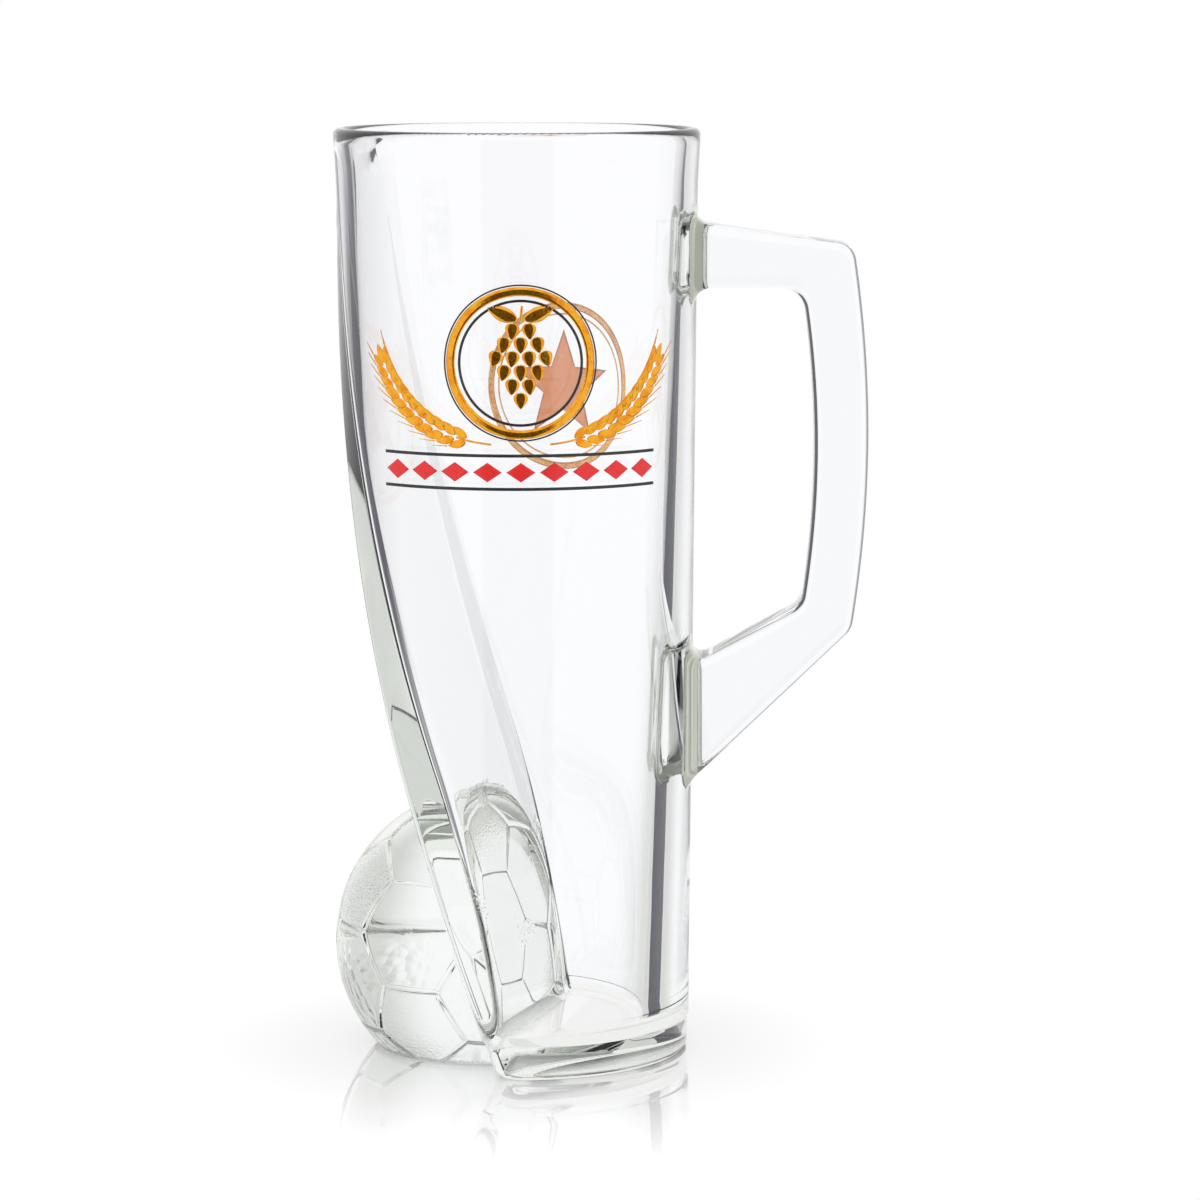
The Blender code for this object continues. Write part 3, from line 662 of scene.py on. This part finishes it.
def lensFigures(base, heading, length, width, tip=0.9, rows=13, columns=5):
    # leaf shapes: a line from base along heading, as wide as a power of a half sine wave
    base, heading = np.atleast_2d(base), np.atleast_1d(heading)
    v = np.linspace(0, 1, rows)
    half = np.sin(math.pi * v**tip) ** 0.8 / 2
    along = np.stack([np.sin(heading), np.cos(heading)], axis=1)[:, None, None, :]
    side = np.stack([np.cos(heading), -np.sin(heading)], axis=1)[:, None, None, :]
    across = (half[:, None] * np.linspace(-1, 1, columns))[None, :, :, None]
    length, width = (np.broadcast_to(n, heading.shape)[:, None, None, None] for n in (length, width))
    return base[:, None, None, :] + along * v[None, :, None, None] * length + side * across * width


def stripFigures(start, end, startWidth, endWidth, rows=9):  # straight strips that taper
    start, end = np.atleast_2d(start), np.atleast_2d(end)
    along = (end - start) / np.linalg.norm(end - start, axis=1, keepdims=True)
    side = np.stack([along[:, 1], -along[:, 0]], axis=1)[:, None, None, :]
    v = np.linspace(0, 1, rows)[None, :, None, None]
    width = startWidth + (endWidth - startWidth) * v
    across = side * width * np.array([-0.5, 0.5])[None, None, :, None]
    return start[:, None, None, :] + (end - start)[:, None, None, :] * v + across


hop = {
    "rows": (2, 3, 4, 3, 2, 1),
    "rowPitch": 0.0031,
    "columnPitch": 0.0034,
    "length": 0.0038,
    "width": 0.0032,
    "tip": 0.65,
    "spread": 0.22,
    "top": 0.0090,
    "leafRoot": (0.0006, 0.0096),
    "leafTurn": 68,
    "leafLength": 0.0074,
    "leafWidth": 0.0034,
    "stalkEnd": (0.0003, 0.0128),
    "stalkWidths": (0.0007, 0.0005),
}


def hopFigures():
    # rows of pointed scales that spread outwards, under two leaves and a stalk
    rows = hop["rows"]
    column = np.concatenate([np.arange(n) - (n - 1) / 2 for n in rows])
    level = np.repeat(np.arange(len(rows)), rows)
    base = np.stack([column * hop["columnPitch"], hop["top"] - level * hop["rowPitch"]], axis=1)
    heading = math.pi - column * hop["spread"]
    scales = lensFigures(base, heading, hop["length"], hop["width"], tip=hop["tip"])
    rootX, rootY = hop["leafRoot"]
    turns = np.radians([hop["leafTurn"], -hop["leafTurn"]])
    leaves = lensFigures([(rootX, rootY), (-rootX, rootY)], turns, hop["leafLength"], hop["leafWidth"])
    stalk = stripFigures((0.0, rootY), hop["stalkEnd"], *hop["stalkWidths"])
    return [scales, leaves, stalk]


barley = {
    "reach": 0.038,
    "foot": 0.0183,
    "stemStart": 0.04,
    "stemPoints": 60,
    "stemShown": 14,
    "stemHalf": 0.00022,
    "pairs": 11,
    "firstPair": 0.16,
    "lastPair": 0.93,
    "apart": 0.0005,
    "length": 0.0052,
    "width": 0.0023,
    "tip": 0.8,
    "lean": math.radians(24),
    "awn": 0.0075,
    "awnTurn": 0.2,
    "awnShare": 0.6,
    "awnWidths": (0.00028, 0.0001),
}


def barleyFigures(side):
    # grains in pairs along a curve that rises outwards, each with a bristle, and one grain at the tip
    foot, reach = barley["foot"], barley["reach"]
    bends = np.array([(foot * 0.27, -foot), (reach * 0.68, -foot * 0.95), (reach * 0.93, foot * 0.05)])
    t = np.linspace(barley["stemStart"], 1, barley["stemPoints"])[:, None]
    path = (1 - t) ** 2 * bends[0] + 2 * t * (1 - t) * bends[1] + t**2 * bends[2]
    slope = 2 * (1 - t) * (bends[1] - bends[0]) + 2 * t * (bends[2] - bends[1])
    heading = np.arctan2(slope[:, 0], slope[:, 1])
    lengths = np.concatenate([[0], np.cumsum(np.linalg.norm(np.diff(path, axis=0), axis=1))])
    at = np.linspace(barley["firstPair"], barley["lastPair"], barley["pairs"]) * lengths[-1]
    place = np.stack([np.interp(at, lengths, path[:, i]) for i in range(2)], axis=1)
    turn = np.interp(at, lengths, heading)
    grow = 0.7 + 0.3 * np.sin(math.pi * np.linspace(0.15, 0.9, barley["pairs"]))
    length, width, tip = barley["length"], barley["width"], barley["tip"]
    figures = []
    for way in (-1, 1):
        lean = turn + way * barley["lean"]
        awnLean = lean - way * barley["awnTurn"]
        shift = place + barley["apart"] * np.stack([np.cos(turn), -np.sin(turn)], axis=1) * way
        figures.append(lensFigures(shift, lean, length * grow, width * grow, tip=tip))
        tips = shift + np.stack([np.sin(lean), np.cos(lean)], axis=1) * (length * grow * 1.04)[:, None]
        awn = np.stack([np.sin(awnLean), np.cos(awnLean)], axis=1) * barley["awn"] * grow[:, None]
        figures.append(stripFigures(tips, tips + awn * barley["awnShare"], *barley["awnWidths"]))
    figures.append(lensFigures(path[-4], heading[-1], length * 0.9, width * 0.8, tip=tip))
    half = barley["stemHalf"] * np.array([-1, 1])[None, :, None]
    normal = np.stack([np.cos(heading), -np.sin(heading)], axis=1)[:, None, :]
    figures.append((path[:, None, :] + normal * half)[None, :barley["stemShown"]])
    return [figure * (side, 1) for figure in figures]


band = {
    "drop": 0.0245,
    "length": 0.068,
    "count": 9,
    "height": 0.0044,
    "width": 0.0066,
    "rule": 0.0007,
    "ruleGap": 0.0012,
}


def lozengeFigures():  # rhombs in a row: half as wide as the distance from their tips
    v = np.linspace(-1, 1, 9)
    half = (1 - np.abs(v))[:, None] * np.linspace(-0.5, 0.5, 7) * band["width"]
    middle = (np.arange(band["count"]) + 0.5 - band["count"] / 2) * band["length"] / band["count"]
    x = middle[:, None, None] + half
    y = np.broadcast_to((v * band["height"] / 2 - band["drop"])[None, :, None], x.shape)
    return [np.stack([x, y], axis=3)]


def ruleFigures(height):  # a straight strip as long as the band
    x = np.linspace(-0.5, 0.5, 60) * band["length"]
    y = height + np.array([-0.5, 0.0, 0.5]) * band["rule"]
    return [np.stack(np.meshgrid(x, y), axis=2)[None]]


backPrint = {
    "radius": 0.020,
    "band": 0.0016,
    "line": 0.0004,
    "lineRadius": 0.0174,
    "star": 0.0135,
    "waist": 0.42,
}


def starFigures():  # five kites from the middle to the tips, each a patch between four corners
    turn = np.arange(5) * 2 * math.pi / 5
    tip = backPrint["star"] * np.stack([np.sin(turn), np.cos(turn)], axis=1)
    waistRadius = backPrint["star"] * backPrint["waist"]
    waists = [waistRadius * np.stack([np.sin(turn + d), np.cos(turn + d)], axis=1)
              for d in (-math.pi / 5, math.pi / 5)]
    u = np.linspace(0, 1, 9)[None, :, None, None]
    v = np.linspace(0, 1, 9)[None, None, :, None]
    left, right, far = (c[:, None, None, :] for c in (*waists, tip))
    return [u * (1 - v) * left + v * (1 - u) * right + u * v * far]


printing = {
    "lift": 0.00004,
    "film": 0.00012,
    "frontTurn": math.radians(18 - 90),
    "frontHeight": 0.164,
    "backTurn": math.radians(90),
    "backHeight": 0.151,
}


def printPiece(name, figures, material, node, slot, turn, height):
    # flat figures wrapped round the tube as a film: sideways becomes a turn about the axis, up stays up
    points, faces, count = [], [], 0
    for figure in figures:
        number, rows, columns = figure.shape[:3]
        alongRow = figure[:, 1:, :-1] - figure[:, :-1, :-1]
        alongColumn = figure[:, :-1, 1:] - figure[:, :-1, :-1]
        area = alongColumn[..., 0] * alongRow[..., 1] - alongColumn[..., 1] * alongRow[..., 0]
        grid = gridFaces(rows, columns)
        grid = grid[:, ::-1] if area.sum() < 0 else grid
        start = (count + np.arange(number) * rows * columns)[:, None, None]
        faces.append((grid[None] + start).reshape(-1, 4))
        points.append(figure.reshape(-1, 2))
        count += number * rows * columns
    flat = np.concatenate(points)
    z = height + flat[:, 1]
    angle = turn + flat[:, 0] / float(tubeRadius(np.array(height)))
    radius = tubeRadius(z) + printing["lift"]
    wrapped = np.stack([radius * np.cos(angle), radius * np.sin(angle), z], axis=1)
    obj = meshObject(name, wrapped, np.concatenate(faces))
    weld(obj, distance=1e-6, outwards=False)  # the figures already face outwards
    film = obj.modifiers.new("film", "SOLIDIFY")
    film.thickness = printing["film"]
    film.offset = 1.0
    obj.data.materials.append(material)
    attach(obj, "root")
    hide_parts(node)
    return obj


lustre = {
    "cloudScale": 420.0,
    "cloudRange": (0.42, 0.66),
    "speckScale": 1900.0,
    "speckRange": (0.3, 0.7),
    "shineRange": (0.7, 1.4),  # of the roughness
    "peel": 0.2,
    "peelHeight": 0.00003,
}


def lustreMaterial(name, bright, deep, roughness):
    # fired gold: a metal film with cloudy spots of a deeper tone and a faint orange peel
    material = bpy.data.materials.new(name)
    nodes = nodeTools(material)
    add, link, ramp = nodes.add, nodes.link, nodes.ramp
    coords = add("ShaderNodeTexCoord").outputs["Object"]
    clouds = add("ShaderNodeTexNoise", Scale=lustre["cloudScale"], Detail=4.0, Roughness=0.65)
    link(coords, clouds.inputs["Vector"])
    specks = add("ShaderNodeTexNoise", Scale=lustre["speckScale"], Detail=1.0)
    link(coords, specks.inputs["Vector"])
    metal = add("ShaderNodeBsdfPrincipled", Metallic=1.0)
    cloudy = ramp(clouds.outputs["Fac"], *lustre["cloudRange"])
    link(nodes.blend(cloudy, bright, deep), metal.inputs["Base Color"])
    smooth, dull = (roughness * share for share in lustre["shineRange"])
    link(ramp(specks.outputs["Fac"], *lustre["speckRange"], smooth, dull), metal.inputs["Roughness"])
    bump = add("ShaderNodeBump", Strength=lustre["peel"], Distance=lustre["peelHeight"])
    link(specks.outputs["Fac"], bump.inputs["Height"])
    link(bump.outputs["Normal"], metal.inputs["Normal"])
    out = add("ShaderNodeOutputMaterial")
    link(metal.outputs[0], out.inputs["Surface"])
    return material


enamel = {"patchScale": 600.0, "patchRange": (0.45, 0.75), "ripple": 0.15, "rippleHeight": 0.00003}


def enamelMaterial(name, colour, worn, roughness, clearness=0.0):
    # fired enamel: a glossy colour with slightly thinner patches
    material = bpy.data.materials.new(name)
    nodes = nodeTools(material)
    add, link = nodes.add, nodes.link
    patches = add("ShaderNodeTexNoise", Scale=enamel["patchScale"], Detail=3.0)
    link(add("ShaderNodeTexCoord").outputs["Object"], patches.inputs["Vector"])
    paint = add("ShaderNodeBsdfPrincipled", Roughness=roughness)
    paint.inputs["Transmission Weight"].default_value = clearness
    thin = nodes.ramp(patches.outputs["Fac"], *enamel["patchRange"])
    link(nodes.blend(thin, colour, worn), paint.inputs["Base Color"])
    bump = add("ShaderNodeBump", Strength=enamel["ripple"], Distance=enamel["rippleHeight"])
    link(patches.outputs["Fac"], bump.inputs["Height"])
    link(bump.outputs["Normal"], paint.inputs["Normal"])
    out = add("ShaderNodeOutputMaterial")
    link(paint.outputs[0], out.inputs["Surface"])
    return material


medallion = {
    "radius": 0.017,
    "band": 0.002,
    "lineRadius": 0.0142,
    "line": 0.0006,
    "outline": 0.00035,
    "gap": 0.0002,
}


def makePrints():  # every coat of print with its ink, at the front's or the back's place
    gold = lustreMaterial("goldLustre", (0.92, 0.43, 0.035), (0.83, 0.27, 0.015), 0.16)
    black = enamelMaterial("blackEnamel", (0.012, 0.012, 0.014), (0.03, 0.028, 0.026), 0.3)
    red = enamelMaterial("redEnamel", (0.80, 0.016, 0.02), (0.66, 0.02, 0.012), 0.25)
    backGold = lustreMaterial("paleLustre", (0.88, 0.47, 0.16), (0.72, 0.30, 0.08), 0.25)
    backRed = enamelMaterial("brickEnamel", (0.95, 0.36, 0.14), (0.92, 0.46, 0.22), 0.3, clearness=0.7)
    front = (printing["frontTurn"], printing["frontHeight"])
    back = (printing["backTurn"], printing["backHeight"])
    outlineRadius = medallion["radius"] + medallion["gap"] + medallion["outline"]
    ring = [ringFigure(medallion["radius"], medallion["band"])]
    lines = [ringFigure(medallion["lineRadius"], medallion["line"]),
             ringFigure(outlineRadius, medallion["outline"])]
    backRing = [ringFigure(backPrint["radius"], backPrint["band"]),
                ringFigure(backPrint["lineRadius"], backPrint["line"])]
    rule = band["height"] / 2 + band["ruleGap"] + band["rule"] / 2
    upper, lower = ruleFigures(rule - band["drop"]), ruleFigures(-rule - band["drop"])
    printPiece("medallion_ring", ring, gold, "print_medallion_ring", "print_gold", *front)
    printPiece("medallion_lines", lines, black, "print_medallion_line", "print_black", *front)
    printPiece("hop_cone", hopFigures(), gold, "print_hop", "print_gold", *front)
    printPiece("barley_left", barleyFigures(-1), gold, "print_ear_left", "print_gold", *front)
    printPiece("barley_right", barleyFigures(1), gold, "print_ear_right", "print_gold", *front)
    printPiece("lozenge_band", lozengeFigures(), red, "print_lozenges", "print_red", *front)
    printPiece("rule_upper", upper, black, "print_rule_upper", "print_black", *front)
    printPiece("rule_lower", lower, black, "print_rule_lower", "print_black", *front)
    printPiece("back_ring", backRing, backGold, "print_back_ring", "back_gold", *back)
    printPiece("back_star", starFigures(), backRed, "print_back_star", "back_red", *back)
    print("prints done")


makePrints()

view = {
    "azimuth": math.radians(17),
    "distance": 1.080,
    "height": 0.248,
    "yaw": -0.0177,
    "pitch": 0.1313,
    "lens": 140.235,
    "sensor": 36.0,
    "clipStart": 0.05,
}


def makeCamera():
    # the camera stands on a circle about the tube's axis; its own axes are right, up and back
    heading = view["azimuth"] + view["yaw"]
    level = math.cos(view["pitch"])
    ahead = Vector((-math.sin(heading) * level, math.cos(heading) * level, -math.sin(view["pitch"])))
    right = Vector((math.cos(heading), math.sin(heading), 0))
    up = right.cross(ahead)
    data = bpy.data.cameras.new("camera")
    data.lens = view["lens"]
    data.sensor_width = view["sensor"]
    data.clip_start = view["clipStart"]
    camera = bpy.data.objects.new("camera", data)
    place = Matrix((right, up, -ahead)).transposed().to_4x4()
    away, aside = math.cos(view["azimuth"]), math.sin(view["azimuth"])
    place.translation = (axisX + view["distance"] * aside, -view["distance"] * away, view["height"])
    camera.matrix_world = place
    bpy.context.scene.collection.objects.link(camera)
    bpy.context.scene.camera = camera


studio = {  # bearings and heights in degrees
    "backdrop": (0.985, 0.985, 1.015),
    "edgeTone": (0.66, 0.67, 0.66),
    "edgeStart": 14.0,
    "edgeEnd": 36.0,
    "edgeBack": 62.0,
    "edgeSoft": 14,
    "frontTone": (0.42, 0.43, 0.42),
    "frontStart": 80.0,
    "frontSoft": 20,
    "frontLow": 5.0,
    "frontLowSoft": 8,
    "sideTone": (0.25, 0.25, 0.27),
    "sideStart": 18.0,
    "sideEnd": 75.0,
    "sideSoft": 14,
    "dimTone": (0.10, 0.10, 0.10),
    "dimHalf": 21.0,
    "dimTop": 4.0,
    "dimSoft": 3.0,
}
solidDepth = 2.5  # light that has crossed fewer glass faces than this was in solid glass alone


def makeWorld():
    # white all round; light that comes through the glass meets a backdrop that greys towards its right
    # edge, a dim room above the camera and, out of solid glass alone, a dark left side; mirrored light
    # meets a dim patch behind the camera
    world = bpy.data.worlds.new("studio")
    bpy.context.scene.world = world
    nodes = nodeTools(world)
    add, link, calc, ramp, blend = nodes.add, nodes.link, nodes.calc, nodes.ramp, nodes.blend
    parts = add("ShaderNodeSeparateXYZ")
    link(add("ShaderNodeTexCoord").outputs["Generated"], parts.inputs[0])
    path = add("ShaderNodeLightPath").outputs
    # turn about the vertical, to the right from straight behind the mug, and height above the horizon
    bearing = calc("MULTIPLY", calc("ARCTAN2", parts.outputs["X"], parts.outputs["Y"]), 180 / math.pi)
    bearing = calc("WRAP", calc("ADD", bearing, math.degrees(view["azimuth"])), 180.0, -180.0)
    elevation = calc("MULTIPLY", calc("ARCSINE", parts.outputs["Z"]), 180 / math.pi)
    turned = calc("ABSOLUTE", bearing)
    left = calc("MULTIPLY", bearing, -1)

    def rising(value, start, soft):  # 0 below start, 1 past its soft edge
        return ramp(value, start, start + soft)

    def falling(value, start, soft):  # 1 below start, 0 past its soft edge
        return ramp(value, start, start + soft, 1.0, 0.0)

    edge = calc("MULTIPLY", ramp(bearing, studio["edgeStart"], studio["edgeEnd"]),
                falling(bearing, studio["edgeBack"], studio["edgeSoft"]))
    front = calc("MULTIPLY", rising(turned, studio["frontStart"], studio["frontSoft"]),
                 rising(elevation, studio["frontLow"], studio["frontLowSoft"]))
    side = calc("MULTIPLY", rising(left, studio["sideStart"], studio["sideSoft"]),
                falling(left, studio["sideEnd"], studio["sideSoft"]))
    soft = studio["dimSoft"]
    behind = calc("MULTIPLY", rising(turned, 180 - studio["dimHalf"] - soft, soft),
                  falling(elevation, studio["dimTop"], soft))
    solid = calc("LESS_THAN", path["Transmission Depth"], solidDepth)
    mirrored = calc("MAXIMUM", calc("SUBTRACT", path["Is Glossy Ray"], path["Is Transmission Ray"]), 0.0)
    white = (1.0, 1.0, 1.0)
    seen = blend(edge, studio["backdrop"], studio["edgeTone"])
    seen = blend(front, seen, studio["frontTone"])
    seen = blend(calc("MULTIPLY", side, solid), seen, studio["sideTone"])
    colour = blend(path["Is Transmission Ray"], white, seen)
    colour = blend(calc("MULTIPLY", behind, mirrored), colour, studio["dimTone"])
    colour = blend(path["Is Camera Ray"], colour, white)
    background = add("ShaderNodeBackground")
    link(colour, background.inputs["Color"])
    out = add("ShaderNodeOutputWorld")
    link(background.outputs[0], out.inputs["Surface"])


cardTone = (0.065, 0.06, 0.08)
cardFoot = (0.45, 0.45, 0.45)
cards = {  # start and end are the camera's own right and back
    "leftCard": {
        "start": (-0.150, 0.020),
        "end": (-0.060, 0.020),
        "low": 0.03,
        "high": 0.21,
        "fade": (0.03, 0.10),
    },
    "rightCard": {
        "start": (0.100, 0.028),
        "end": (0.100, 0.066),
        "low": -0.04,
        "high": 0.21,
        "fade": (-0.04, -0.03),
    },
}


def makeCard(name, card):
    # a dark upright rectangle beside the mug that only light out of solid glass sees; its foot is paler
    cosine, sine = math.cos(view["azimuth"]), math.sin(view["azimuth"])
    start, end, low, high = card["start"], card["end"], card["low"], card["high"]
    corners = [(right * cosine - back * sine, right * sine + back * cosine, z)
               for (right, back), z in ((start, low), (end, low), (end, high), (start, high))]
    piece = meshObject(name, corners, np.array([(0, 1, 2, 3)]))
    material = bpy.data.materials.new(name)
    nodes = nodeTools(material)
    add, link = nodes.add, nodes.link
    parts = add("ShaderNodeSeparateXYZ")
    link(add("ShaderNodeTexCoord").outputs["Object"], parts.inputs[0])
    tone = add("ShaderNodeEmission")
    fade = nodes.ramp(parts.outputs["Z"], *card["fade"])
    link(nodes.blend(fade, cardFoot, cardTone), tone.inputs["Color"])
    path = add("ShaderNodeLightPath")
    solid = nodes.calc("LESS_THAN", path.outputs["Transmission Depth"], solidDepth)
    out = add("ShaderNodeOutputMaterial")
    link(nodes.mix(solid, add("ShaderNodeBsdfTransparent"), tone).outputs[0], out.inputs["Surface"])
    piece.data.materials.append(material)
    for kind in ("camera", "diffuse", "glossy", "shadow"):
        setattr(piece, "visible_" + kind, False)


table = {
    "half": 0.6,
    "tone": (0.94, 0.94, 0.94),
    "glow": 0.32,
    "polish": 0.012,
    "mirror": 0.6,
    "mirrorFade": (0.03, 0.16),
    "floorFade": (0.10, 0.20),
    # painted light: the even glow that light through the glass sees on the floor under the mug, in place
    # of its shade
    "lit": 0.95,  # as the glass sees it
    "litFade": (0.045, 0.060),
}


def makeFloor():
    # a pale table that mirrors the foot, less so further out, and runs out into the white; light that
    # comes through the glass sees the floor close under the mug as an even white glow, which is painted
    # light in place of its shade
    half = table["half"]
    corners = np.array([(-half, -half, 0), (half, -half, 0), (half, half, 0), (-half, half, 0)], float)
    floor = meshObject("floor", corners, np.array([(0, 1, 2, 3)]))
    material = bpy.data.materials.new("paleFloor")
    nodes = nodeTools(material)
    add, link, ramp, mix = nodes.add, nodes.link, nodes.ramp, nodes.mix
    spot = add("ShaderNodeMapping")
    spot.inputs["Location"].default_value = (-axisX, 0, 0)
    link(add("ShaderNodeTexCoord").outputs["Object"], spot.inputs["Vector"])
    length = add("ShaderNodeVectorMath", operation="LENGTH")
    link(spot.outputs[0], length.inputs[0])
    reach = length.outputs["Value"]
    path = add("ShaderNodeLightPath").outputs
    plain = add("ShaderNodeBsdfDiffuse")
    plain.inputs["Color"].default_value = (*table["tone"], 1)
    glow = add("ShaderNodeEmission")
    link(nodes.calc("MULTIPLY", path["Is Camera Ray"], table["glow"]), glow.inputs["Strength"])
    both = add("ShaderNodeAddShader")
    link(plain.outputs[0], both.inputs[0])
    link(glow.outputs[0], both.inputs[1])
    gloss = add("ShaderNodeBsdfGlossy", Roughness=table["polish"])
    clear = add("ShaderNodeBsdfTransparent")
    surface = mix(ramp(reach, *table["mirrorFade"], table["mirror"], 0.0), both, gloss)
    surface = mix(ramp(reach, *table["floorFade"]), surface, clear)
    # painted light: to light through the glass, the floor near the mug is an even white glow rather than
    # its shaded self
    lit = mix(ramp(reach, *table["litFade"]), add("ShaderNodeEmission", Strength=table["lit"]), clear)
    surface = mix(path["Is Transmission Ray"], surface, lit)
    out = add("ShaderNodeOutputMaterial")
    link(surface.outputs[0], out.inputs["Surface"])
    floor.data.materials.append(material)


makeCamera()
makeWorld()
for cardName, card in cards.items():
    makeCard(cardName, card)
makeFloor()
print("studio done")
bpy.context.scene.view_settings.view_transform = "Standard"
